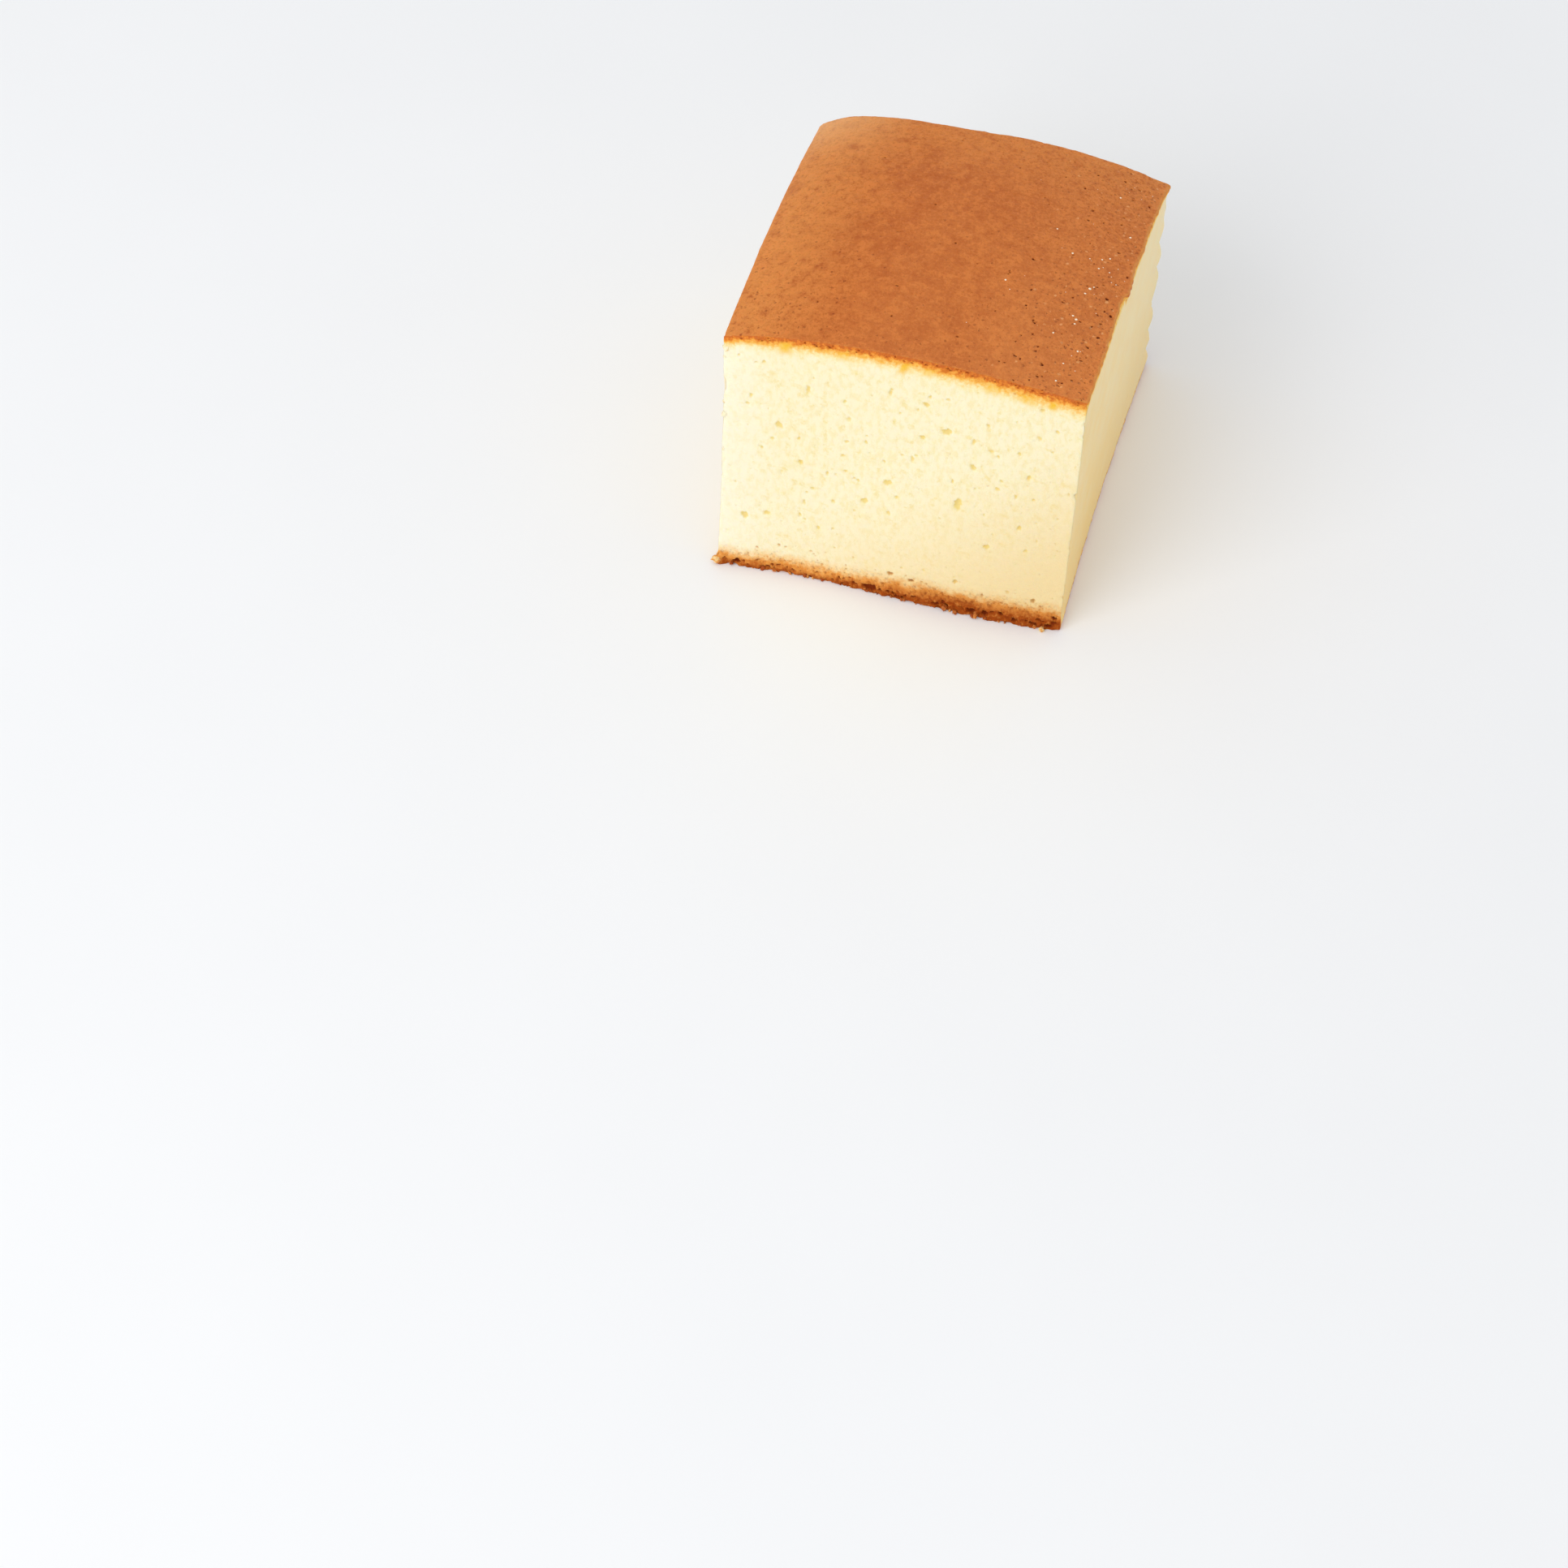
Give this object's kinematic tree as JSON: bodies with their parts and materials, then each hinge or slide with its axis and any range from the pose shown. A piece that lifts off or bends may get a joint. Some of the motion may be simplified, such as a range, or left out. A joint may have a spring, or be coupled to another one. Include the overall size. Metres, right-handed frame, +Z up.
{
  "type": "castella sponge cake",
  "caption": "Upright block of castella sponge cake with a domed brown top crust, a thin ragged brown base and fine pale crumb on its cut faces.",
  "frame": {"origin": "centre of the base, on the surface that the block stands on", "axes": "+Z up, +X across the loaf from its left side to its right side, +Y from the leaning front cut to the back cut"},
  "size_m": [0.0824, 0.0892, 0.0678],
  "materials": {
    "sponge": "matte"
  },
  "bodies": {
    "root": {"castella_block": "sponge"}
  },
  "joints": []
}
